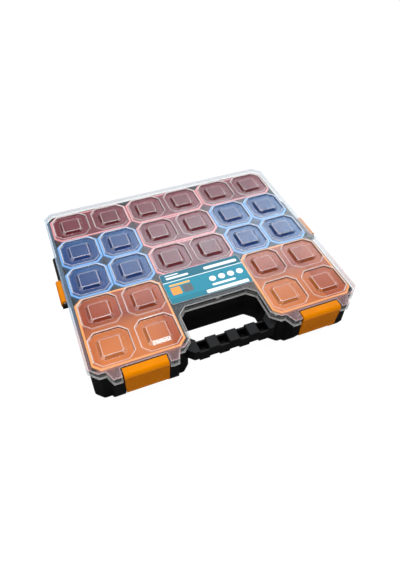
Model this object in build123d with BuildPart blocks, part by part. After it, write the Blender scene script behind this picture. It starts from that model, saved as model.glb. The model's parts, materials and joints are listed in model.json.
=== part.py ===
from build123d import *
from math import atan2, degrees, sqrt
import os

# A storage box with lift-out bins under a clear hinged lid, in millimetres.
# The origin is on the ground at the centre of the bin grid, +Z is up and the handle side is -Y.

# Bin grid
pitch = 62.0               # one grid cell, both ways
columns = 6
rows = 5

# Heights above the ground
lid_top = 62.0
skirt_drop = 12.4          # lid top down to the skirt's lower edge
rim_gap = 1.2              # lid underside to the bins' rims
base_rim_gap = 5.8         # lid underside to the base's rim

# Lid plan
side_margin = 6.5          # grid edge to the lid's side edge
back_margin = 9.3
front_margin = 5.0
corner = 12.0              # cut on each outer corner
lid_plate = 2.0
skirt_wall = 2.0
lid_edge_round = 0.8
plan_round = 1.6           # rounding of the lid's upright corners

# Hand hole between the two wings
hole_half_width = 57.0
hole_depth = 62.0          # lid front edge back to the hole's rear edge
hole_corner = 11.0

# Lid cell: an eight-sided recess with a raised square boss
recess_half = 26.5
recess_corner = 9.6
recess_depth = 2.8
recess_run = 1.0           # how far the recess wall slopes inwards
recess_bevel = 0.5         # bevel along the recess's upper edge
cell_wall = 1.2
tray_lap = 0.25            # how far the recess's outer shell reaches up into the plate
boss_foot_half = 17.6
boss_top_half = 13.6
boss_corner = 4.4
boss_rise = 3.8
boss_bevel = 0.4           # bevel round the boss's top
boss_shell = 1.8           # sideways thickness of the boss wall

# Base tray
base_gap = 0.8             # skirt inside to base outside
base_wall = 2.4
floor = 2.4
base_round = 6.0           # rounding of the base's upright corners
bottom_round = 1.5
locator_height = 1.0       # low ribs that keep the bins in their places
locator_wall = 2.0

# Bins
bin_gap = 0.6              # bin rim to its cell boundary
bin_corner = 10.0
bin_wall = 1.5
bin_draft = 1.5            # degrees
bin_round = 4.0
bin_rim = 2.6              # height of the thicker band at the rim
bin_rim_step = 1.4         # how far the band stands out
bin_rim_round = 0.6

# Front latches, one on each wing
latch_centre = 123.3       # from the middle of the box
latch_width = 57.2
latch_wall = 2.8
latch_nose = 5.0           # radius of the rounded top edge
latch_height = 42.5
latch_start = 2.1          # lid front edge to the latch's top edge
latch_reach = 14.7         # lid front edge to the latch's outer face
latch_lean = 3.6           # how far the foot stands back from the outer face
latch_web = 5.0            # thickness of the web that carries the barrel
ridge_count = 9
ridge_pitch = 3.2
ridge_depth = 0.5
ridge_groove = 0.9
ridge_start = 8.5          # lid top to the first groove
latch_rib = 1.6            # thickness of the stiffening ribs behind the wall
latch_rib_depth = 2.4
latch_rib_count = 3
front_pivot_z = 27.0
front_pivot_reach = 5.5    # lid front edge to the pivot's centre
front_barrel = 3.4
front_trunnion = 1.6

# Ears of the lid and bosses of the base beside each front latch
ear_gap = 1.8              # latch end to the ear
ear_width = 11.8
ear_slant = 6.0
ear_reach = 14.2
boss_side_gap = 0.5        # latch end to the boss
boss_skirt_gap = 0.8       # wide part of the boss to the skirt's lower edge
boss_break_z = 22.0        # where the boss's front starts to slant back
boss_foot_z = 3.5          # where its underside starts
boss_foot_reach = 2.2      # lid front edge to the boss's front at that height

# Side latches, one on each side
side_latch_y = -3.6
side_latch_length = 41.5
side_latch_drop = 6.5      # lid top to the latch's top
side_latch_start = 0.6     # lid side edge to the latch's top edge
side_latch_reach = 8.4     # lid side edge to the latch's outer face
side_nose = 4.0
side_barrel = 2.6
side_pivot_z = 47.6
side_trunnion = 1.3
side_lug = 3.2             # thickness of each pivot lug
side_lug_reach = 7.3       # lid side edge to the lug's outer face
side_lug_up = 3.0          # pivot to the lug's top and bottom

# Rail along each side of the base
rail_reach = 3.8           # lid side edge to the rail's outer face
rail_back_y = 73.8
rail_bevel = 3.0
rail_thick = 3.6
rail_skirt_gap = 0.7       # rail top to the skirt's lower edge
barrel_gap = 0.5           # side latch's barrel to the rail

# Lips of the lid under the latches
lip_thick = 4.2
lip_gap = 0.5              # lip top to the latch's hook
lip_reach = 8.5            # on the front
lip_end_gap = 3.4          # lip's end to the latch's end
side_lip_thick = 1.6
side_lip_reach = 4.5
side_lip_end_gap = 0.6

# Running fits of the latches' trunnions
trunnion_fit = 0.05        # radial
trunnion_length = 2.4      # into the boss or lug
trunnion_end_gap = 0.4

# Rear hinge, two stations with a steel pin each
hinge_x = 110.0
hinge_reach = 4.0          # lid back edge to the pin's centre
hinge_z = 42.8
knuckle = 4.0
knuckle_width = 24.0
knuckle_arm_up = 14.0      # pin's centre to the top of the lid's arm
lug_width = 8.0
lug_gap = 0.4
lug_up = 2.0               # pin's centre to the top of the lug's arm
gusset_drop = 16.0
pin_radius = 1.5
pin_fit = 0.05
pin_head = 2.6
pin_head_thick = 1.0
pin_tip = 0.6
lid_travel = 110.0         # degrees, where the heel meets the base's rear wall
heel_gap = 0.3
heel_half = 1.5

# Handle bar between the wings
bar_front_reach = 3.7      # lid front edge to the bar's front face
bar_depth = 18.7
bar_wall = 2.4
bar_top = 43.4
bar_bottom = 29.8
bar_half_front = 57.0      # where the bar's front starts to run back to the wing
bar_run = 13.0             # how far it runs, at 45 degrees
bar_flare = 9.0            # the same at the bar's rear
block_top = 47.1
block_pitch = 28.7
block_width = 15.6
block_side = 8.0           # height of a block's upright faces
block_proud = 0.6
block_round = 1.6
bump_drop = 2.5
bump_width = 14.6

# Label in a shallow tray on the lid's flat field
label_width = 121.5
label_depth = 57.0
label_y = -60.1
label_thick = 0.3
label_edge_gap = 0.3
label_round = 3.0

# Places worked out from the sizes above
bite = 1.0                 # how far added features reach into the wall that carries them
grid_half_x = columns * pitch / 2
grid_half_y = rows * pitch / 2
lid_side = grid_half_x + side_margin
lid_back = grid_half_y + back_margin
lid_front = -(grid_half_y + front_margin)
lid_under = lid_top - lid_plate
skirt_low = lid_top - skirt_drop
hole_back = lid_front + hole_depth
base_inset = skirt_wall + base_gap
base_side = lid_side - base_inset
base_back = lid_back - base_inset
base_front = lid_front + base_inset
base_rim = lid_under - base_rim_gap
bin_top = lid_under - rim_gap
ear_tip = lid_front - ear_reach
bay_half = latch_width / 2 + ear_gap
boss_inner = latch_width / 2 + boss_side_gap
lug_inner = side_latch_length / 2 + boss_side_gap
latch_face = lid_front - latch_reach
front_pivot_y = lid_front - front_pivot_reach
side_face = lid_side + side_latch_reach
side_pivot_x = side_face - side_barrel
hinge_y = lid_back + hinge_reach
lip_top = lid_top - latch_wall - lip_gap
side_latch_top = lid_top - side_latch_drop
side_lip_top = side_latch_top - latch_wall - lip_gap

# Bins as (name, columns, rows); row 1 is at the back
bin_plan = [
    ("bin_wide_back_left", (1, 2), (1, 1)),
    ("bin_wide_back_middle", (3, 4), (1, 1)),
    ("bin_wide_back_right", (5, 6), (1, 1)),
    ("bin_wide_upper_middle", (3, 4), (2, 2)),
    ("bin_wide_lower_middle", (3, 4), (3, 3)),
    ("bin_small_upper_left_outer", (1, 1), (2, 2)),
    ("bin_small_upper_left_inner", (2, 2), (2, 2)),
    ("bin_small_upper_right_inner", (5, 5), (2, 2)),
    ("bin_small_upper_right_outer", (6, 6), (2, 2)),
    ("bin_small_lower_left_outer", (1, 1), (3, 3)),
    ("bin_small_lower_left_inner", (2, 2), (3, 3)),
    ("bin_small_lower_right_inner", (5, 5), (3, 3)),
    ("bin_small_lower_right_outer", (6, 6), (3, 3)),
    ("bin_large_left", (1, 2), (4, 5)),
    ("bin_large_right", (5, 6), (4, 5)),
]


def cell_centre(column, row):
    """Centre of one grid cell."""
    return ((column - (columns + 1) / 2) * pitch, ((rows + 1) / 2 - row) * pitch)


def octagon(half_x, half_y, cut):
    """Corner points of a rectangle with its four corners cut."""
    right = [(half_x, cut - half_y), (half_x, half_y - cut), (half_x - cut, half_y)]
    left = [(cut - half_x, half_y), (-half_x, half_y - cut), (-half_x, cut - half_y)]
    return right + left + [(cut - half_x, -half_y), (half_x - cut, -half_y)]


def grown_cut(cut, growth):
    """Corner cut of an outline drawn outwards by the growth on every side."""
    return cut + growth * (2 - sqrt(2))


def half_outline(with_ears):
    """Right half of the box's outline, from the back middle round to the hand hole."""
    points = [(0, lid_back), (lid_side - corner, lid_back), (lid_side, lid_back - corner)]
    points += [(lid_side, lid_front + corner), (lid_side - corner, lid_front)]
    if with_ears:
        outer = latch_centre + bay_half
        inner = latch_centre - bay_half
        points += [(outer + ear_width + ear_slant, lid_front), (outer + ear_width, ear_tip)]
        points += [(outer, ear_tip), (outer, lid_front), (inner, lid_front), (inner, ear_tip)]
        points += [(inner - ear_width, ear_tip), (inner - ear_width - ear_slant, lid_front)]
    points += [(hole_half_width + corner, lid_front), (hole_half_width, lid_front + corner)]
    points += [(hole_half_width, hole_back - hole_corner), (hole_half_width - hole_corner, hole_back)]
    return points + [(0, hole_back)]


def box_outline(inset, with_ears=False, rounding=0.0):
    """Face of the whole outline, drawn in by an inset."""
    with BuildSketch() as outline:
        with BuildLine():
            Polyline(*half_outline(with_ears), close=True)
        make_face()
        mirror(about=Plane.YZ)
        if inset:
            offset(amount=-inset, kind=Kind.INTERSECTION)
        if rounding:
            fillet(outline.vertices(), rounding)
    return outline.sketch


def across(x):
    """Upright plane at x, with Y to the right and Z up."""
    return Plane.YZ.offset(x)


def save(part, name):
    """Label a finished piece and write it."""
    part.label = name
    export_step(part, f"parts/{name}.step")


os.makedirs("parts", exist_ok=True)

# The two middle columns of the last two rows carry the label field and the hand hole
lid_cells = [
    cell_centre(column, row)
    for column in range(1, columns + 1)
    for row in range(1, rows + 1)
    if row < rows - 1 or column not in (columns // 2, columns // 2 + 1)
]
latch_middles = (-latch_centre, latch_centre)
hinge_middles = (-hinge_x, hinge_x)

# Lid
recess_floor = lid_top - recess_depth
tray_bottom = recess_floor - cell_wall
tray_top = lid_under + tray_lap
tray_half = recess_half + cell_wall - (lid_top - tray_top) * recess_run / recess_depth
recess_taper = degrees(atan2(recess_run, recess_depth))
bevel_half = recess_half + recess_bevel
boss_run = boss_foot_half - boss_top_half
boss_taper = degrees(atan2(boss_run, boss_rise))
hollow_half = boss_foot_half + cell_wall * boss_run / boss_rise - boss_shell
heel_length = hinge_y - base_back - heel_gap

with BuildPart() as lid:
    with BuildSketch(Plane.XY.offset(lid_under)):
        add(box_outline(0, with_ears=True, rounding=plan_round))
    extrude(amount=lid_plate)
    fillet(lid.faces().sort_by(Axis.Z)[-1].edges(), lid_edge_round)
    with BuildSketch(Plane.XY.offset(skirt_low)):
        add(box_outline(0, with_ears=True, rounding=plan_round))
        add(box_outline(skirt_wall, with_ears=True), mode=Mode.SUBTRACT)
    extrude(amount=lid_under - skirt_low)

    # Eight-sided trays under the plate, each with a raised boss in it
    with BuildSketch(Plane.XY.offset(tray_top)):
        with Locations(*lid_cells):
            Polygon(*octagon(tray_half, tray_half, grown_cut(recess_corner, tray_half - recess_half)))
    extrude(amount=tray_bottom - tray_top, taper=recess_taper)
    with BuildSketch(Plane.XY.offset(lid_top)):
        with Locations(*lid_cells):
            Polygon(*octagon(recess_half, recess_half, recess_corner))
    extrude(amount=-recess_depth, taper=recess_taper, mode=Mode.SUBTRACT)
    with BuildSketch(Plane.XY.offset(lid_top)):
        with Locations(*lid_cells):
            Polygon(*octagon(bevel_half, bevel_half, grown_cut(recess_corner, recess_bevel)))
    extrude(amount=-2 * recess_bevel, taper=45, mode=Mode.SUBTRACT)
    with BuildSketch(Plane.XY.offset(recess_floor)):
        with Locations(*lid_cells):
            Polygon(*octagon(boss_foot_half, boss_foot_half, boss_corner))
    extrude(amount=boss_rise, taper=boss_taper)
    boss_tops = lid.faces().filter_by_position(Axis.Z, recess_floor + boss_rise, recess_floor + boss_rise)
    chamfer(boss_tops.edges(), boss_bevel)
    with BuildSketch(Plane.XY.offset(tray_bottom)):
        with Locations(*lid_cells):
            Polygon(*octagon(hollow_half, hollow_half, boss_corner))
    extrude(amount=boss_rise, taper=boss_taper, mode=Mode.SUBTRACT)

    # Lips that the latches hook over
    with BuildSketch(Plane.XY.offset(lip_top - lip_thick)):
        with Locations(*[(middle, lid_front - lip_reach) for middle in latch_middles]):
            Rectangle(latch_width - 2 * lip_end_gap, lip_reach + bite, align=(Align.CENTER, Align.MIN))
    extrude(amount=lip_thick)
    with BuildSketch(Plane.XY.offset(side_lip_top - side_lip_thick)):
        with Locations((0, side_latch_y)):
            Rectangle(2 * (lid_side + side_lip_reach), side_latch_length - 2 * side_lip_end_gap)
            Rectangle(2 * (lid_side - bite), side_latch_length, mode=Mode.SUBTRACT)
    extrude(amount=side_lip_thick)

    # Hinge knuckles, with a heel that stops the lid against the base's rear wall
    with BuildSketch(*[across(middle - knuckle_width / 2) for middle in hinge_middles]):
        Polygon(
            (lid_back - bite, skirt_low), (hinge_y - knuckle, hinge_z), (hinge_y, hinge_z),
            (hinge_y + knuckle / sqrt(2), hinge_z + knuckle / sqrt(2)),
            (lid_back - bite, hinge_z + knuckle_arm_up),
        )
        with Locations((hinge_y, hinge_z)):
            Circle(knuckle)
            Rectangle(
                heel_length, 2 * heel_half, rotation=180 + lid_travel, align=(Align.MIN, Align.CENTER)
            )
    extrude(amount=knuckle_width)
    with BuildSketch(across(0)):
        with Locations((hinge_y, hinge_z)):
            Circle(pin_radius + pin_fit)
    extrude(amount=lid_side, both=True, mode=Mode.SUBTRACT)

    # Shallow tray for the label
    with BuildSketch(Plane.XY.offset(lid_top)):
        with Locations((0, label_y)):
            RectangleRounded(
                label_width + 2 * label_edge_gap, label_depth + 2 * label_edge_gap,
                label_round + label_edge_gap,
            )
    extrude(amount=-label_thick, mode=Mode.SUBTRACT)
save(lid.part, "lid")

# Label
with BuildPart() as label:
    with BuildSketch(Plane.XY.offset(lid_top - label_thick)):
        with Locations((0, label_y)):
            RectangleRounded(label_width, label_depth, label_round)
    extrude(amount=label_thick)
save(label.part, "label")

# Base tray with the handle, the latch bosses, the side rails and the rear hinge lugs
boss_front = ear_tip + base_inset
boss_depth = base_front + bottom_round - boss_front
ear_lean = ear_slant / ear_reach
boss_outer = bay_half + ear_width + base_inset * (ear_lean - sqrt(1 + ear_lean ** 2))
boss_foot = boss_outer + ear_lean * boss_depth
rail_top = skirt_low - rail_skirt_gap
bar_front = lid_front - bar_front_reach
bar_back = bar_front + bar_depth
gap_half = (block_pitch - block_width) / 2
wedge_inner = 1.5 * block_pitch + gap_half
wing_inner = bar_half_front + bar_run
lug_middle = knuckle_width / 2 + lug_gap + lug_width / 2
block_middles = [step * block_pitch for step in (-1, 0, 1)]
gap_middles = [step * block_pitch for step in (-1.5, -0.5, 0.5, 1.5)]
bar_end = [
    (wedge_inner, bar_back), (wedge_inner + bar_flare, bar_back + bar_flare),
    (wing_inner, bar_back + bar_flare), (wing_inner, bar_front + bar_run), (bar_half_front, bar_front),
]

with BuildPart() as base:
    with BuildSketch():
        add(box_outline(base_inset, rounding=base_round))
    extrude(amount=base_rim)
    fillet(base.faces().sort_by(Axis.Z)[0].edges(), bottom_round)

    # Bosses beside the front latches, each with a narrower part inside the lid's ear
    boss_steps = ((boss_inner, skirt_low - boss_skirt_gap), (bay_half + base_inset, base_rim))
    for inner, top in boss_steps:
        with BuildSketch():
            with Locations(*[(middle, boss_front) for middle in latch_middles]):
                Polygon(
                    (-boss_foot, boss_depth), (-boss_outer, 0), (boss_outer, 0), (boss_foot, boss_depth),
                )
                Rectangle(2 * inner, 2 * boss_depth, mode=Mode.SUBTRACT)
        extrude(amount=top)
    with BuildSketch(across(0)):
        Polygon(
            (boss_front, boss_break_z), (lid_front - boss_foot_reach, boss_foot_z),
            (base_front + bite, 0), (ear_tip, 0), (ear_tip, boss_break_z),
        )
    extrude(amount=lid_side, both=True, mode=Mode.SUBTRACT)

    # Handle bar, with its end blocks, its raised blocks and the bumps between them
    with BuildSketch(Plane.XY.offset(bar_bottom)):
        Polygon((0, bar_back), *bar_end, (0, bar_front))
        mirror(about=Plane.YZ)
    extrude(amount=bar_top - bar_bottom)
    with BuildSketch(Plane.XY.offset(bar_top - bite)):
        Polygon(*bar_end, (wedge_inner, bar_front))
        mirror(about=Plane.YZ)
    extrude(amount=block_top - bar_top + bite)
    with BuildSketch(Plane.XY.offset(block_top - block_side)):
        with Locations(*[(middle, bar_front - block_proud) for middle in block_middles]):
            Rectangle(block_width, bar_depth + 2 * block_proud, align=(Align.CENTER, Align.MIN))
    extrude(amount=block_side)
    block_tops = base.faces().filter_by_position(Axis.Z, block_top, block_top)
    fillet(block_tops.filter_by_position(Axis.X, -wedge_inner, wedge_inner).edges(), block_round)
    with BuildSketch(Plane.XY.offset(bar_bottom - bump_drop)):
        with Locations(*[(middle, bar_front - block_proud) for middle in gap_middles]):
            Rectangle(bump_width, bar_depth + 2 * block_proud, align=(Align.CENTER, Align.MIN))
    extrude(amount=bump_drop + bite)

    # The bar is a run of shells, open upwards between the blocks and downwards under them
    with BuildSketch(Plane.XY.offset(bar_bottom + bite)):
        with Locations(*[(middle, bar_front + bar_wall) for middle in gap_middles]):
            Rectangle(2 * gap_half, bar_depth - 2 * bar_wall, align=(Align.CENTER, Align.MIN))
    extrude(amount=block_top - bar_bottom, mode=Mode.SUBTRACT)
    with BuildSketch(Plane.XY.offset(bar_bottom)):
        with Locations(*[(middle, bar_front + bar_wall) for middle in block_middles]):
            Rectangle(
                block_width - 2 * bar_wall, bar_depth - 2 * bar_wall, align=(Align.CENTER, Align.MIN)
            )
    extrude(amount=block_top - bar_wall - bar_bottom, mode=Mode.SUBTRACT)

    # Side rails, cut back behind each side latch, and the lugs at its two ends
    with BuildSketch(Plane.XY.offset(rail_top - rail_thick)):
        Polygon(
            (base_side - bite, side_latch_y - lug_inner - side_lug),
            (lid_side + rail_reach, side_latch_y - lug_inner - side_lug),
            (lid_side + rail_reach, rail_back_y - rail_bevel),
            (lid_side + rail_reach - rail_bevel, rail_back_y), (base_side - bite, rail_back_y),
        )
        with Locations((side_pivot_x - side_barrel - barrel_gap, side_latch_y)):
            Rectangle(
                rail_reach, 2 * lug_inner, align=(Align.MIN, Align.CENTER), mode=Mode.SUBTRACT
            )
        mirror(about=Plane.YZ)
    extrude(amount=rail_thick)
    lug_planes = [
        Plane.XZ.offset(lug_inner - side_latch_y), Plane.XZ.offset(-lug_inner - side_latch_y - side_lug)
    ]
    with BuildSketch(*lug_planes):
        Polygon(
            (base_side - bite, side_pivot_z - side_lug_up),
            (lid_side + side_lug_reach, side_pivot_z - side_lug_up),
            (lid_side + side_lug_reach, side_pivot_z + side_lug_up),
            (lid_side + base_gap, side_pivot_z + side_lug_up), (lid_side + base_gap, rail_top),
            (base_side - bite, rail_top),
        )
        mirror(about=Plane.YZ)
    extrude(amount=side_lug)

    # Rear hinge lugs
    with BuildSketch(
        *[
            across(middle + side * lug_middle - lug_width / 2)
            for middle in hinge_middles
            for side in (-1, 1)
        ]
    ):
        Polygon(
            (base_back - bite, hinge_z + lug_up), (base_back - bite, hinge_z - gusset_drop),
            (hinge_y + knuckle / sqrt(2), hinge_z - knuckle / sqrt(2)),
            (hinge_y, hinge_z + lug_up),
        )
        with Locations((hinge_y, hinge_z)):
            Circle(knuckle)
    extrude(amount=lug_width)

    # Inside, with low ribs that keep the bins in their places
    with BuildSketch(Plane.XY.offset(floor)):
        add(box_outline(base_inset + base_wall, rounding=base_round - base_wall))
    extrude(amount=base_rim, mode=Mode.SUBTRACT)
    with BuildSketch(Plane.XY.offset(boss_break_z + base_wall)):
        add(box_outline(base_inset + base_wall, with_ears=True))
    extrude(amount=base_rim, mode=Mode.SUBTRACT)
    with BuildSketch(Plane.XY.offset(floor - bite)):
        with Locations(*[(0, step * pitch) for step in (-0.5, 0.5, 1.5)]):
            Rectangle(2 * base_side - base_wall, locator_wall)
        with Locations((-pitch, pitch / 2), (pitch, pitch / 2)):
            Rectangle(locator_wall, (rows - 1) * pitch)
        with Locations((-2 * pitch, pitch / 2), (2 * pitch, pitch / 2)):
            Rectangle(locator_wall, 2 * pitch)
    extrude(amount=bite + locator_height)

    # Pivot holes
    with BuildSketch(*[across(middle) for middle in latch_middles]):
        with Locations((front_pivot_y, front_pivot_z)):
            Circle(front_trunnion + trunnion_fit)
    extrude(amount=boss_inner + trunnion_length + trunnion_end_gap, both=True, mode=Mode.SUBTRACT)
    with BuildSketch(Plane.XZ.offset(-side_latch_y)):
        with Locations((-side_pivot_x, side_pivot_z), (side_pivot_x, side_pivot_z)):
            Circle(side_trunnion + trunnion_fit)
    extrude(amount=lug_inner + trunnion_length + trunnion_end_gap, both=True, mode=Mode.SUBTRACT)
    with BuildSketch(across(0)):
        with Locations((hinge_y, hinge_z)):
            Circle(pin_radius + pin_fit)
    extrude(amount=lid_side, both=True, mode=Mode.SUBTRACT)
save(base.part, "base_tray")

# Hinge pins, each with its head at the box's outer side
pin_reach = lug_middle + lug_width / 2
for side, name in ((-1, "hinge_pin_left"), (1, "hinge_pin_right")):
    head_x = side * (hinge_x + pin_reach)
    with BuildPart() as pin:
        with BuildSketch(across(head_x)):
            with Locations((hinge_y, hinge_z)):
                Circle(pin_radius)
        extrude(amount=-side * (2 * pin_reach + pin_tip))
        chamfer(pin.faces().sort_by(Axis.X)[0 if side > 0 else -1].edges(), pin_tip / 2)
        with BuildSketch(across(head_x)):
            with Locations((hinge_y, hinge_z)):
                Circle(pin_head)
        extrude(amount=side * pin_head_thick)
    save(pin.part, name)

# Front latches: a ridged wall with a rounded hook at the top and a web to the pivot near the foot
foot_z = lid_top - latch_height
foot_y = latch_face + latch_lean
lean_rate = latch_lean / (latch_height - latch_nose)
wall_inner = latch_face + latch_wall
rib_shift = lean_rate * (lid_top - latch_nose - front_pivot_z)
web_reach = front_pivot_y - latch_face - rib_shift - latch_wall / 2
rib_pitch = latch_width / (latch_rib_count + 1)
rib_places = [step * rib_pitch - (latch_width + latch_rib) / 2 for step in range(1, latch_rib_count + 1)]
for middle, name in zip(latch_middles, ("latch_front_left", "latch_front_right")):
    with BuildPart() as latch:
        with BuildSketch(across(middle - latch_width / 2)) as profile:
            Polygon(
                (lid_front - latch_start, lid_top), (latch_face, lid_top),
                (latch_face, lid_top - latch_nose), (foot_y, foot_z), (foot_y + latch_wall, foot_z),
                (wall_inner, lid_top - latch_nose), (wall_inner, lid_top - latch_wall),
                (lid_front - latch_start, lid_top - latch_wall),
            )
            fillet(profile.vertices().sort_by_distance((latch_face, lid_top))[0], latch_nose)
            inside_corner = profile.vertices().sort_by_distance((wall_inner, lid_top - latch_wall))[0]
            fillet(inside_corner, latch_nose - latch_wall)
            with Locations((front_pivot_y, front_pivot_z)):
                Circle(front_barrel)
                Rectangle(web_reach, latch_web, align=(Align.MAX, Align.CENTER))
        extrude(amount=latch_width)
        with BuildSketch(*[across(middle + place) for place in rib_places]):
            Polygon(
                (wall_inner + rib_shift - bite, front_pivot_z),
                (wall_inner + rib_shift + latch_rib_depth, front_pivot_z),
                (wall_inner + latch_rib_depth, lid_top - latch_nose),
                (wall_inner + latch_rib_depth, lid_top - latch_wall + bite),
                (wall_inner - bite, lid_top - latch_wall), (wall_inner - bite, lid_top - latch_nose),
            )
        extrude(amount=latch_rib)
        with BuildSketch(across(middle - latch_width / 2)):
            for step in range(ridge_count):
                drop = ridge_start + step * ridge_pitch
                with Locations((latch_face + lean_rate * (drop - latch_nose), lid_top - drop)):
                    Rectangle(2 * ridge_depth, ridge_groove)
        extrude(amount=latch_width, mode=Mode.SUBTRACT)
        with BuildSketch(across(middle)):
            with Locations((front_pivot_y, front_pivot_z)):
                Circle(front_trunnion)
        extrude(amount=latch_width / 2 + boss_side_gap + trunnion_length, both=True)
    save(latch.part, name)

# Side latches: a short wall with the same hook, turning on a barrel at its lower edge
for side, name in ((-1, "latch_side_left"), (1, "latch_side_right")):
    with BuildPart() as latch:
        with BuildSketch(Plane.XZ.offset(-side_latch_y)) as profile:
            Polygon(
                (lid_side + side_latch_start, side_latch_top), (side_face, side_latch_top),
                (side_face, side_pivot_z), (side_face - latch_wall, side_pivot_z),
                (side_face - latch_wall, side_latch_top - latch_wall),
                (lid_side + side_latch_start, side_latch_top - latch_wall),
            )
            fillet(profile.vertices().sort_by_distance((side_face, side_latch_top))[0], side_nose)
            inside_corner = profile.vertices().sort_by_distance(
                (side_face - latch_wall, side_latch_top - latch_wall)
            )[0]
            fillet(inside_corner, side_nose - latch_wall)
            with Locations((side_pivot_x, side_pivot_z)):
                Circle(side_barrel)
        extrude(amount=side_latch_length / 2, both=True)
        with BuildSketch(Plane.XZ.offset(-side_latch_y)):
            with Locations((side_pivot_x, side_pivot_z)):
                Circle(side_trunnion)
        extrude(amount=side_latch_length / 2 + boss_side_gap + trunnion_length, both=True)
        if side < 0:
            mirror(about=Plane.YZ, mode=Mode.REPLACE)
    save(latch.part, name)

# Bins: drafted boxes with cut corners and a thicker band at the rim
for name, (first_column, last_column), (first_row, last_row) in bin_plan:
    left, back_y = cell_centre(first_column, first_row)
    right, front_y = cell_centre(last_column, last_row)
    centre = ((left + right) / 2, (back_y + front_y) / 2)
    half_x = (right - left + pitch) / 2 - bin_gap
    half_y = (back_y - front_y + pitch) / 2 - bin_gap
    body_x = half_x - bin_rim_step
    body_y = half_y - bin_rim_step
    body_cut = grown_cut(bin_corner, -bin_rim_step)
    pocket_cut = grown_cut(bin_corner, -bin_rim_step - bin_wall)
    with BuildPart() as pocket:
        with BuildSketch(Plane.XY.offset(bin_top)):
            with Locations(centre):
                Polygon(*octagon(body_x - bin_wall, body_y - bin_wall, pocket_cut))
        extrude(amount=floor + bin_wall - bin_top, taper=bin_draft)
        fillet(pocket.faces().sort_by(Axis.Z)[0].edges(), bin_round - bin_wall)
    with BuildPart() as bin_shell:
        with BuildSketch(Plane.XY.offset(bin_top)):
            with Locations(centre):
                Polygon(*octagon(body_x, body_y, body_cut))
        extrude(amount=floor - bin_top, taper=bin_draft)
        fillet(bin_shell.faces().sort_by(Axis.Z)[0].edges(), bin_round)
        with BuildSketch(Plane.XY.offset(bin_top - bin_rim)):
            with Locations(centre):
                Polygon(*octagon(half_x, half_y, bin_corner))
        extrude(amount=bin_rim)
        fillet(bin_shell.faces().sort_by(Axis.Z)[-1].edges(), bin_rim_round)
        add(pocket.part, mode=Mode.SUBTRACT)
    save(bin_shell.part, name)
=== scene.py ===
import json
import math

import bpy
from mathutils import Matrix, Vector

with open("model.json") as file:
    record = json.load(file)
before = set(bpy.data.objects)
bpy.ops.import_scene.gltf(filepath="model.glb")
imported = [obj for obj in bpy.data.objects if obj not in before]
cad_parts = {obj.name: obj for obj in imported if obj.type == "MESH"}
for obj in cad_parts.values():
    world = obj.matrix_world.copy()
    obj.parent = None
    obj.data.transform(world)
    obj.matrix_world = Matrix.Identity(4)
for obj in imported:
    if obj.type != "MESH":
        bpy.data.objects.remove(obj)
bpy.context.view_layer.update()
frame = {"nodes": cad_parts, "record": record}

# The storage box's own finishes are below, then the studio round it. Metres, in the CAD's frame.
MM = 0.001
CELL = 0.062                                        # pitch of the lid's cells and of the bins
GRID_HALF_X, GRID_HALF_Y = 3 * CELL, 2.5 * CELL     # half of the whole grid of cells
SQUARE_REACH = 0.0185                               # middle of a cell to just past its raised square
LID_TOP = 0.062                                     # top of the lid's plate
RECESS_LOW = 0.058                                  # underside of the lid's recesses
SKIRT_LOW = 0.0496                                  # foot of the lid's skirt
BIN_TOP = 0.0588
LABEL_CENTRE = (0.0, -0.0601)
RIDGE_START, RIDGE_PITCH, RIDGE_GROOVE = 0.0085, 0.0032, 0.0009     # from the lid's top down
RIDGES_FRONT_Y = -0.1705                            # the latches' ridged faces lie in front of this

# Least and most roughness of each finish
SATIN_ROUGH, AMBER_ROUGH = (0.36, 0.49), (0.3, 0.42)
WIRE_ROUGH, FILM_ROUGH = (0.22, 0.42), (0.26, 0.36)

# Share of milk in the clear plastic, the near walls' and the bevel's shares being painted highlight:
# those in the first line add up, and the others are the least on a bevel and the most anywhere
PLAIN_HAZE, FLAT_HAZE, SKIRT_HAZE, MARGIN_HAZE, NEAR_WALL_HIGHLIGHT = 0.006, 0.012, 0.055, 0.2, 0.28
BEVEL_HIGHLIGHT, MOST_HAZE = 0.65, 0.9
# The third colour is painted shade, darkening the see-through plastic where shade falls
MILK, CLEAR, SHADE_COLOUR = (0.94, 0.93, 0.92), (0.98, 0.984, 0.983), (0.5, 0.52, 0.55)
# Painted light: colours of the light from what lies under the lid's margins, in front, on the left and
# elsewhere
FRONT_UNDERLIGHT, LEFT_UNDERLIGHT, OTHER_UNDERLIGHT = (1.0, 0.58, 0.6), (0.4, 0.65, 1.0), (0.85, 0.9, 1.0)
# Shares of painted shade on the lid's outer wall and on a square's near slopes
OUTER_WALL_SHADE, SQUARE_SHADE = 0.5, 0.4
MIRROR_LEAST, MIRROR_RISE = 0.04, 0.95              # mirrored light straight on, and more of it at a slant

MIX_FACTOR, MIX_FIRST, MIX_SECOND, MIX_RESULT = 0, 6, 7, 2          # a Mix node's sockets for colours


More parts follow.
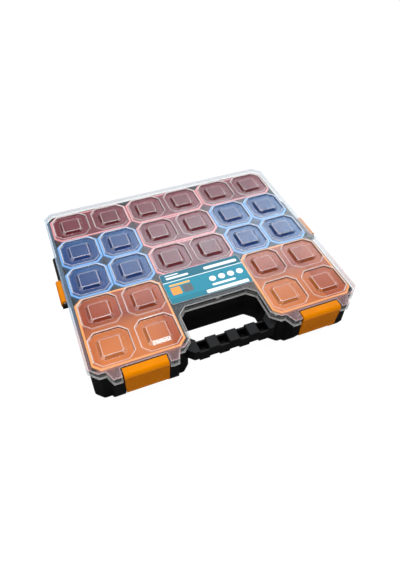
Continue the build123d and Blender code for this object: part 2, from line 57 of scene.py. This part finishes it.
class Nodes:
    """A node tree, with short calls that add and join its nodes."""

    def __init__(self, tree):
        self.tree = tree

    def node(self, kind, settings=None, **inputs):
        """Add a node; inputs are numbers, colours or sockets by the input's name."""
        made = self.tree.nodes.new("ShaderNode" + kind)
        for key, value in (settings or {}).items():
            setattr(made, key, value)
        for key, value in inputs.items():
            self.feed(made, key.replace("_", " "), value)
        return made

    def feed(self, made, key, value):
        """Join a socket to a node's input, or set the input's own number or colour."""
        if isinstance(value, bpy.types.NodeSocket):
            self.tree.links.new(value, made.inputs[key])
        else:
            made.inputs[key].default_value = value

    def math(self, operation, *values):
        made = self.node("Math", {"operation": operation})
        for index, value in enumerate(values):
            self.feed(made, index, value)
        return made.outputs[0]

    def product(self, first, *others):
        for other in others:
            first = self.math("MULTIPLY", first, other)
        return first

    def rest(self, mask):
        """What a mask leaves out."""
        return self.math("SUBTRACT", 1.0, mask)

    def step(self, value, low, high, to_low=0.0, to_high=1.0):
        """Smooth ramp of a value between two places."""
        made = self.node("MapRange", {"interpolation_type": "SMOOTHSTEP"}, Value=value)
        for key, number in (("From Min", low), ("From Max", high), ("To Min", to_low), ("To Max", to_high)):
            self.feed(made, key, number)
        return made.outputs["Result"]

    def mix(self, factor, first, second):
        """Mix of two colours."""
        made = self.node("Mix", {"data_type": "RGBA"})
        self.feed(made, MIX_FACTOR, factor)
        for index, value in ((MIX_FIRST, first), (MIX_SECOND, second)):
            self.feed(made, index, value if isinstance(value, bpy.types.NodeSocket) else (*value, 1.0))
        return made.outputs[MIX_RESULT]

    def dot(self, first, second):
        made = self.node("VectorMath", {"operation": "DOT_PRODUCT"})
        self.feed(made, 0, first)
        self.feed(made, 1, second)
        return made.outputs["Value"]

    def axes(self, vector):
        return self.node("SeparateXYZ", Vector=vector).outputs


class Finish(Nodes):
    """One material, patterned on its piece's place in the CAD's frame."""

    def __init__(self, name):
        self.material = bpy.data.materials.new(name)
        self.material.use_nodes = True
        super().__init__(self.material.node_tree)
        self.tree.nodes.clear()
        self.out = self.node("OutputMaterial")
        self.place = self.node("TexCoord").outputs["Object"]
        self.x, self.y, self.height = self.axes(self.place)

    def above(self, level, start, end, to_low=0.0, to_high=1.0):
        """Smooth ramp of the height between two places, in millimetres above a level."""
        return self.step(self.height, level + start * MM, level + end * MM, to_low, to_high)

    def noise(self, scale, detail=2.0, roughness=0.5):
        """Noise with a number of waves to the metre."""
        made = self.node("TexNoise", Vector=self.place, Scale=scale, Detail=detail, Roughness=roughness)
        return made.outputs[0]

    def ramp(self, value, *stops):
        """Colour ramp through (place, colour) stops."""
        made = self.node("ValToRGB", Fac=value)
        band = made.color_ramp
        while len(band.elements) < len(stops):
            band.elements.new(0.5)
        for element, (position, colour) in zip(band.elements, stops):
            element.position = position
            element.color = (*colour, 1.0)
        return made.outputs["Color"]

    def bump(self, height, distance, strength=1.0, normal=None):
        made = self.node("Bump", Height=height, Distance=distance, Strength=strength)
        if normal is not None:
            self.feed(made, "Normal", normal)
        return made.outputs["Normal"]

    def rounded(self, radius, samples=4):
        """Normal that runs round sharp edges."""
        return self.node("Bevel", {"samples": samples}, Radius=radius).outputs["Normal"]

    def edges(self, radius, samples=4, flat_at=1.0, edge_at=0.9):
        """One on sharp edges and nought on flats, by how straight the rounded normal still stands."""
        true_normal = self.node("NewGeometry").outputs["Normal"]
        return self.step(self.dot(self.rounded(radius, samples), true_normal), flat_at, edge_at)

    def blend(self, factor, first, second):
        """Mix of two shader nodes."""
        made = self.node("MixShader", Fac=factor)
        self.feed(made, 1, first.outputs[0])
        self.feed(made, 2, second.outputs[0])
        return made

    def surface(self, shader):
        self.tree.links.new(shader.outputs[0], self.out.inputs["Surface"])
        return self.material


def moulded(name, dark, light, edge_highlight, specular=0.25, rim_highlight=None):
    """Satin moulded plastic: faint cloudiness, fine grain, a painted highlight along sharp edges and, on a
    bin, a painted highlight round its top.
    """
    finish = Finish(name)
    colour = finish.mix(finish.step(finish.noise(26.0, 3.0), 0.3, 0.7), dark, light)
    patchy = finish.step(finish.noise(90.0, 3.0), 0.25, 0.75, 0.35, 1.0)
    # Painted highlight along sharp edges, in patches
    colour = finish.mix(finish.product(finish.edges(0.6 * MM), patchy), colour, edge_highlight)
    # Painted highlight: a lighter band round a bin's top, where light from above falls
    if rim_highlight:
        colour = finish.mix(finish.above(BIN_TOP, -1.2, -0.4), colour, rim_highlight)
    rough = finish.step(finish.noise(140.0, 4.0), 0.2, 0.8, *SATIN_ROUGH)
    grain = finish.bump(finish.noise(2600.0, 2.0, 0.6), 0.02 * MM, 1.0, finish.rounded(0.5 * MM))
    return finish.surface(finish.node(
        "BsdfPrincipled", Base_Color=colour, Roughness=rough, Normal=grain, Specular_IOR_Level=specular,
    ))


def clear_lid():
    """Clear plastic: its flats are a little milky, its margins more with a painted tint of light from
    below, with painted highlights on edges and near walls and painted shade on other walls.
    """
    finish = Finish("lid_clear_plastic")
    facets = finish.axes(finish.node("NewGeometry").outputs["Normal"])
    flatness = finish.math("ABSOLUTE", facets["Z"])

    # Regions: below the recesses, beside the grid of cells, in a cell's raised square, on its far side
    below = finish.above(RECESS_LOW, -1.0, 0.0, 1.0, 0.0)
    past_x = finish.math("SUBTRACT", finish.math("ABSOLUTE", finish.x), GRID_HALF_X)
    past_y = finish.math("SUBTRACT", finish.math("ABSOLUTE", finish.y), GRID_HALF_Y)
    beside = finish.step(finish.math("MAXIMUM", past_x, past_y), -0.5 * MM, 0.5 * MM)
    from_x = finish.math("PINGPONG", finish.math("ADD", finish.x, CELL / 2), CELL / 2)
    from_y = finish.math("PINGPONG", finish.y, CELL / 2)
    in_square = finish.math("LESS_THAN", finish.math("MAXIMUM", from_x, from_y), SQUARE_REACH)
    along_x = finish.math("FRACT", finish.math("DIVIDE", finish.x, CELL))
    along_y = finish.math("FRACT", finish.math("MULTIPLY_ADD", finish.y, 1.0 / CELL, 0.5))
    far_side = finish.step(finish.math("ADD", along_x, along_y), 0.96, 1.08)

    # Faces: the lid's outer wall, the recesses' walls, and the bevel along each recess's upper edge
    upright = finish.product(finish.step(flatness, 0.4, 0.6, 1.0, 0.0), finish.rest(below))
    outer_wall = finish.product(upright, beside)
    recess_wall = finish.product(upright, finish.rest(finish.math("MAXIMUM", in_square, beside)))
    bevel = finish.product(
        finish.step(flatness, 0.6, 0.66), finish.step(flatness, 0.78, 0.84, 1.0, 0.0),
        finish.above(LID_TOP, -0.8, -0.6), finish.rest(in_square),
    )

    # Haze of flats, skirt and margins; the margins get a painted tint of the light from what lies under
    # them
    skirt = finish.product(finish.step(flatness, 0.15, 0.45, 1.0, 0.0), below)
    margin = finish.product(beside, finish.above(LID_TOP, -0.3, -0.1))
    haze_and_highlight = finish.math("MULTIPLY_ADD", finish.above(LID_TOP, -0.6, -0.2), FLAT_HAZE, PLAIN_HAZE)
    haze_and_highlight = finish.math("MULTIPLY_ADD", skirt, SKIRT_HAZE, haze_and_highlight)
    haze_and_highlight = finish.math("MULTIPLY_ADD", margin, MARGIN_HAZE, haze_and_highlight)
    haze_and_highlight = finish.product(haze_and_highlight, finish.step(finish.noise(40.0, 4.0), 0.3, 0.7, 0.85, 1.15))
    side_underlight = finish.mix(finish.step(finish.x, -0.19, -0.17), LEFT_UNDERLIGHT, OTHER_UNDERLIGHT)
    underlight = finish.mix(finish.step(finish.y, -0.11, -0.05), FRONT_UNDERLIGHT, side_underlight)
    milk_and_underlight = finish.mix(margin, MILK, underlight)

    # Painted highlight: edges are made milky, most along the recesses, less on the raised squares, strongly
    # at the skirt's foot
    edge_highlight = finish.product(
        finish.above(LID_TOP, -1.6, -0.6, 0.12, 0.85), finish.above(LID_TOP, 0.2, 0.6, 1.0, 0.3),
    )
    edge_highlight = finish.math("MAXIMUM", edge_highlight, finish.above(SKIRT_LOW, 0.8, 1.6, 0.9, 0.0))
    edges = finish.edges(1.9 * MM, samples=12, flat_at=0.998, edge_at=0.965)
    haze_and_highlight = finish.math("MULTIPLY_ADD", edges, edge_highlight, haze_and_highlight)
    # Painted highlight: the bevel along each recess's upper edge is made milky
    haze_and_highlight = finish.math("MAXIMUM", haze_and_highlight, finish.product(bevel, BEVEL_HIGHLIGHT))

    # Painted highlight on a recess's near walls; painted shade on its far walls, the outer wall and a
    # square's near slopes
    near_wall = finish.product(recess_wall, finish.rest(far_side))
    haze_and_highlight = finish.math("MULTIPLY_ADD", near_wall, NEAR_WALL_HIGHLIGHT, haze_and_highlight)
    to_handle = finish.math("MULTIPLY", facets["Y"], -1.0)
    to_left = finish.math("MULTIPLY", facets["X"], -1.0)
    turned = finish.step(finish.math("MAXIMUM", to_handle, to_left), 0.4, 0.6)
    near_slope = finish.product(finish.step(flatness, 0.84, 0.9, 1.0, 0.0), turned, in_square)
    far_wall = finish.product(recess_wall, far_side)
    painted_shade = finish.math("MULTIPLY_ADD", outer_wall, OUTER_WALL_SHADE, far_wall)
    painted_shade = finish.math("MAXIMUM", painted_shade, finish.product(near_slope, SQUARE_SHADE))

    # See-through plastic with its painted shade and milky plastic with its painted highlights, under a
    # gloss that mirrors more at a slant
    see_through = finish.node("BsdfTransparent", Color=finish.mix(painted_shade, CLEAR, SHADE_COLOUR))
    milk_front = finish.node("BsdfDiffuse", Color=milk_and_underlight)
    milk_back = finish.node("BsdfTranslucent", Color=milk_and_underlight)
    milk = finish.blend(0.4, milk_front, milk_back)
    body = finish.blend(finish.math("MINIMUM", haze_and_highlight, MOST_HAZE), see_through, milk)
    flow = finish.bump(finish.noise(60.0, 3.0), 0.1 * MM, 0.15, finish.rounded(0.4 * MM))
    gloss = finish.node("BsdfGlossy", Color=(1.0, 1.0, 1.0, 1.0), Roughness=0.08, Normal=flow)
    slant = finish.math("POWER", finish.node("LayerWeight").outputs["Facing"], 5.0)
    mirrored = finish.math("MULTIPLY_ADD", slant, MIRROR_RISE, MIRROR_LEAST)
    return finish.surface(finish.blend(mirrored, body, gloss))


def amber_latch():
    """Glossy amber moulding with a faint ripple, and painted shade in the grooves of the front latches."""
    finish = Finish("latch_amber_gloss")
    cloud = finish.step(finish.noise(45.0, 3.0), 0.3, 0.7)
    colour = finish.mix(cloud, (0.6, 0.175, 0.0), (0.66, 0.195, 0.0))
    drop = finish.math("SUBTRACT", LID_TOP - RIDGE_START + 0.5 * RIDGE_GROOVE, finish.height)
    turn = finish.math("FRACT", finish.math("DIVIDE", drop, RIDGE_PITCH))
    groove = finish.product(
        finish.math("LESS_THAN", turn, 1.5 * RIDGE_GROOVE / RIDGE_PITCH),
        finish.math("LESS_THAN", finish.y, RIDGES_FRONT_Y), finish.math("GREATER_THAN", drop, 0.0),
    )
    # Painted shade darkens the grooves
    colour = finish.mix(finish.product(groove, 0.85), colour, (0.2, 0.04, 0.0))
    rough = finish.step(finish.noise(160.0, 4.0), 0.2, 0.8, *AMBER_ROUGH)
    ripple = finish.bump(finish.noise(900.0, 2.0), 0.01 * MM, 1.0, finish.rounded(0.4 * MM))
    return finish.surface(finish.node(
        "BsdfPrincipled", Base_Color=colour, Roughness=rough, Normal=ripple,
        Specular_IOR_Level=0.3, Specular_Tint=(1.0, 0.55, 0.05, 1.0),
    ))


def pin_steel():
    """Drawn wire, with fine lines along it."""
    finish = Finish("pin_drawn_steel")
    stretched = finish.node("Mapping", Vector=finish.place, Scale=(60.0, 9000.0, 9000.0))
    lines = finish.node("TexNoise", Vector=stretched.outputs[0], Scale=1.0, Detail=3.0).outputs[0]
    colour = finish.ramp(lines, (0.3, (0.42, 0.42, 0.43)), (0.7, (0.66, 0.66, 0.67)))
    rough = finish.step(lines, 0.2, 0.8, *WIRE_ROUGH)
    drawn = finish.bump(lines, 0.01 * MM)
    return finish.surface(finish.node(
        "BsdfPrincipled", Base_Color=colour, Roughness=rough, Normal=drawn, Metallic=1.0,
    ))


# Blocks of the label's print as (left, front, right, back, corner radius, colour), in millimetres
# from the label's own middle, painted in this order
PRINT_SOFTNESS = 0.15
DISC = 10.0
PALE = (0.84, 0.88, 0.88)
LABEL_BLOCKS = [
    (-60.8, 12.0, 60.8, 28.6, 0.1, (0.006, 0.12, 0.18)),
    (-60.8, 10.6, 60.8, 12.0, 0.1, (0.75, 0.86, 0.88)),
    (-60.8, -28.6, 60.8, -19.5, 0.1, (0.004, 0.17, 0.24)),
    (-8.0, -27.0, 56.0, -21.0, 1.2, (0.82, 0.86, 0.86)),
    (-54.0, 16.5, -20.0, 20.5, 2.0, (0.8, 0.86, 0.88)),
    (-54.0, 23.0, -34.0, 25.0, 1.0, (0.8, 0.86, 0.88)),
    (-54.0, -14.0, -40.0, 0.0, 1.5, (0.85, 0.3, 0.05)),
    (-37.0, -14.0, -23.0, 0.0, 1.5, (0.1, 0.11, 0.12)),
    (-54.0, 2.5, -23.0, 6.0, 1.5, (0.85, 0.42, 0.1)),
    *[(left, -8.0, left + DISC, -8.0 + DISC, DISC / 2, PALE) for left in (4.0, 18.0, 32.0, 46.0)],
    (4.0, 17.0, 56.0, 22.5, 2.7, PALE),
    (4.0, -16.5, 40.0, -12.5, 2.0, PALE),
]


def label_print():
    """Turquoise film with bands, round-ended bars and discs."""
    finish = Finish("label_printed_film")
    colour = finish.mix(finish.noise(300.0, 3.0), (0.001, 0.2, 0.29), (0.003, 0.23, 0.33))
    for left, front, right, back, radius, ink in LABEL_BLOCKS:
        spans = ((finish.x, left, right, LABEL_CENTRE[0]), (finish.y, front, back, LABEL_CENTRE[1]))
        squares = []
        for place, low, high, middle in spans:
            off_centre = finish.math("SUBTRACT", place, middle + (low + high) / 2 * MM)
            reach = ((high - low) / 2 - radius) * MM
            beyond = finish.math("SUBTRACT", finish.math("ABSOLUTE", off_centre), reach)
            beyond = finish.math("MAXIMUM", beyond, 0.0)
            squares.append(finish.product(beyond, beyond))
        span = finish.math("SQRT", finish.math("ADD", *squares))
        inner, outer = (radius - PRINT_SOFTNESS) * MM, (radius + PRINT_SOFTNESS) * MM
        colour = finish.mix(finish.step(span, inner, outer, 1.0, 0.0), colour, ink)
    rough = finish.step(finish.noise(60.0, 3.0), 0.2, 0.8, *FILM_ROUGH)
    wave = finish.bump(finish.noise(700.0, 2.0), 0.01 * MM, 0.5)
    return finish.surface(finish.node(
        "BsdfPrincipled", Base_Color=colour, Roughness=rough, Normal=wave, Specular_IOR_Level=0.4,
    ))


materials = {
    "base_black": moulded(
        "base_black_satin", dark=(0.003, 0.003, 0.0033), light=(0.005, 0.005, 0.0056),
        edge_highlight=(0.018, 0.018, 0.02), specular=0.15,
    ),
    "lid_clear": clear_lid(),
    "label_print": label_print(),
    "pin_steel": pin_steel(),
    "latch_amber": amber_latch(),
    "bin_red": moulded(
        "bin_red_satin", dark=(0.5, 0.058, 0.11), light=(0.56, 0.068, 0.125),
        edge_highlight=(0.8, 0.25, 0.27), rim_highlight=(0.8, 0.3, 0.32),
    ),
    "bin_blue": moulded(
        "bin_blue_satin", dark=(0.002, 0.23, 0.6), light=(0.004, 0.255, 0.66),
        edge_highlight=(0.15, 0.4, 0.85), rim_highlight=(0.16, 0.42, 0.85),
    ),
    "bin_orange": moulded(
        "bin_orange_satin", dark=(0.71, 0.21, 0.02), light=(0.77, 0.24, 0.03),
        edge_highlight=(0.95, 0.45, 0.18), rim_highlight=(0.98, 0.38, 0.09),
    ),
}
for part in frame["record"]["subparts"]:
    solid = frame["nodes"][part["node"]]
    solid.data.materials.clear()
    solid.data.materials.append(materials[part["material_slot"]])

# Studio: a pale floor that the camera sees as almost white, a bright surround and four soft lights
FLOOR_HALF = 4.0
FLOOR_GLOW = 0.97
FLOOR_DARK, FLOOR_LIGHT = (0.44, 0.44, 0.44), (0.46, 0.46, 0.46)
FLOOR_SEEN, FLOOR_MIRRORED = (0.06, 0.06, 0.06), (0.07, 0.07, 0.07)
floor_mesh = bpy.data.meshes.new("studio_floor")
floor_corners = [(x * FLOOR_HALF, y * FLOOR_HALF, 0) for x, y in ((-1, -1), (1, -1), (1, 1), (-1, 1))]
floor_mesh.from_pydata(floor_corners, [], [(0, 1, 2, 3)])
floor = bpy.data.objects.new("studio_floor", floor_mesh)
bpy.context.scene.collection.objects.link(floor)
paper = Finish("studio_paper")
rays = paper.node("LightPath").outputs
paper_colour = paper.mix(paper.noise(3.0, 2.0), FLOOR_DARK, FLOOR_LIGHT)
paper_colour = paper.mix(rays["Is Camera Ray"], paper_colour, FLOOR_SEEN)
paper_colour = paper.mix(rays["Is Glossy Ray"], paper_colour, FLOOR_MIRRORED)
floor_mesh.materials.append(paper.surface(paper.node(
    "BsdfPrincipled", Base_Color=paper_colour, Roughness=0.9, Emission_Color=(1.0, 1.0, 1.0, 1.0),
    Emission_Strength=paper.product(rays["Is Camera Ray"], FLOOR_GLOW),
)))

# The surround is brightest behind the box on its right. The patch that the lid's flats mirror holds a
# dim field with one soft strip of light, placed by its slopes from the vertical, across and away.
BRIGHT_SIDE = Vector((0.62, 0.62, 0.48)).normalized()
SURROUND_LEAST, SURROUND_MOST = 0.12, 1.9
FIELD_LIGHT, STRIP_LIGHT = 0.35, 3.4
SURROUND_COLOUR, PATCH_COLOUR = (1.0, 1.0, 1.0), (0.88, 1.0, 1.1)
world = bpy.data.worlds.new("studio")
bpy.context.scene.world = world
world.use_nodes = True
sky = Nodes(world.node_tree)
direction = sky.node("TexCoord").outputs["Generated"]
surround = sky.step(sky.dot(direction, BRIGHT_SIDE), 0.1, 1.0, SURROUND_LEAST, SURROUND_MOST)
parts = sky.axes(direction)
rise = sky.math("MAXIMUM", parts["Z"], 0.02)
across = sky.math("DIVIDE", parts["X"], rise)
away = sky.math("DIVIDE", parts["Y"], rise)
strip = sky.product(
    sky.step(away, 0.62, 1.02), sky.step(away, 1.0, 1.32, 1.0, 0.3), sky.step(across, -0.1, 0.45),
)
field = sky.math("MULTIPLY_ADD", strip, STRIP_LIGHT, FIELD_LIGHT)
patch = sky.product(
    sky.step(across, -0.35, -0.2), sky.step(across, 0.9, 1.1, 1.0, 0.0),
    sky.step(away, 0.4, 0.55), sky.step(away, 1.45, 1.65, 1.0, 0.0),
)
light = sky.math("MULTIPLY_ADD", sky.math("SUBTRACT", field, surround), patch, surround)
background = sky.tree.nodes["Background"]
sky.feed(background, "Strength", light)
sky.feed(background, "Color", sky.mix(patch, SURROUND_COLOUR, PATCH_COLOUR))


def softbox(name, place, target, size, power, mirrored=True):
    """Area light that faces a target; glossy surfaces mirror it or not."""
    lamp = bpy.data.lights.new(name, "AREA")
    lamp.shape = "RECTANGLE"
    lamp.size, lamp.size_y = size
    lamp.energy = power
    holder = bpy.data.objects.new(name, lamp)
    holder.visible_glossy = mirrored
    bpy.context.scene.collection.objects.link(holder)
    facing = (Vector(target) - Vector(place)).to_track_quat("-Z", "Y")
    holder.matrix_world = Matrix.Translation(place) @ facing.to_matrix().to_4x4()


softbox("light_over", (-0.2, 0.2, 1.9), (0, 0, 0), size=(1.2, 1.0), power=22.0)
softbox("light_left", (-1.4, -0.3, 0.9), (0, 0, 0), size=(0.9, 0.9), power=5.0)
softbox("light_glint", (0.137, -1.30, 0.98), (-0.093, -0.139, 0.0605), size=(0.12, 0.08), power=0.4)
softbox("light_front", (-0.35, -1.6, 0.35), (0, -0.16, 0.03), size=(0.9, 0.35), power=11.0, mirrored=False)

# Camera, at the photograph's angle
AZIMUTH, ELEVATION, ROLL = math.radians(-22.40), math.radians(47.35), math.radians(0.89)
DISTANCE, AIM, LENS, SENSOR = 0.678, Vector((-0.0126, -0.0688, 0.062)), 30.48, 36.0
back = Vector((
    math.sin(AZIMUTH) * math.cos(ELEVATION), -math.cos(AZIMUTH) * math.cos(ELEVATION), math.sin(ELEVATION),
))
right = (-back).cross(Vector((0, 0, 1))).normalized()
up = right.cross(-back)
rolled_right = math.cos(ROLL) * right + math.sin(ROLL) * up
rolled_up = math.cos(ROLL) * up - math.sin(ROLL) * right
lens = bpy.data.cameras.new("camera")
lens.lens, lens.sensor_width = LENS, SENSOR
camera = bpy.data.objects.new("camera", lens)
bpy.context.scene.collection.objects.link(camera)
turn = Matrix((rolled_right, rolled_up, back)).transposed().to_4x4()
camera.matrix_world = Matrix.Translation(AIM + back * DISTANCE) @ turn
bpy.context.scene.camera = camera
bpy.context.scene.view_settings.view_transform = "Standard"
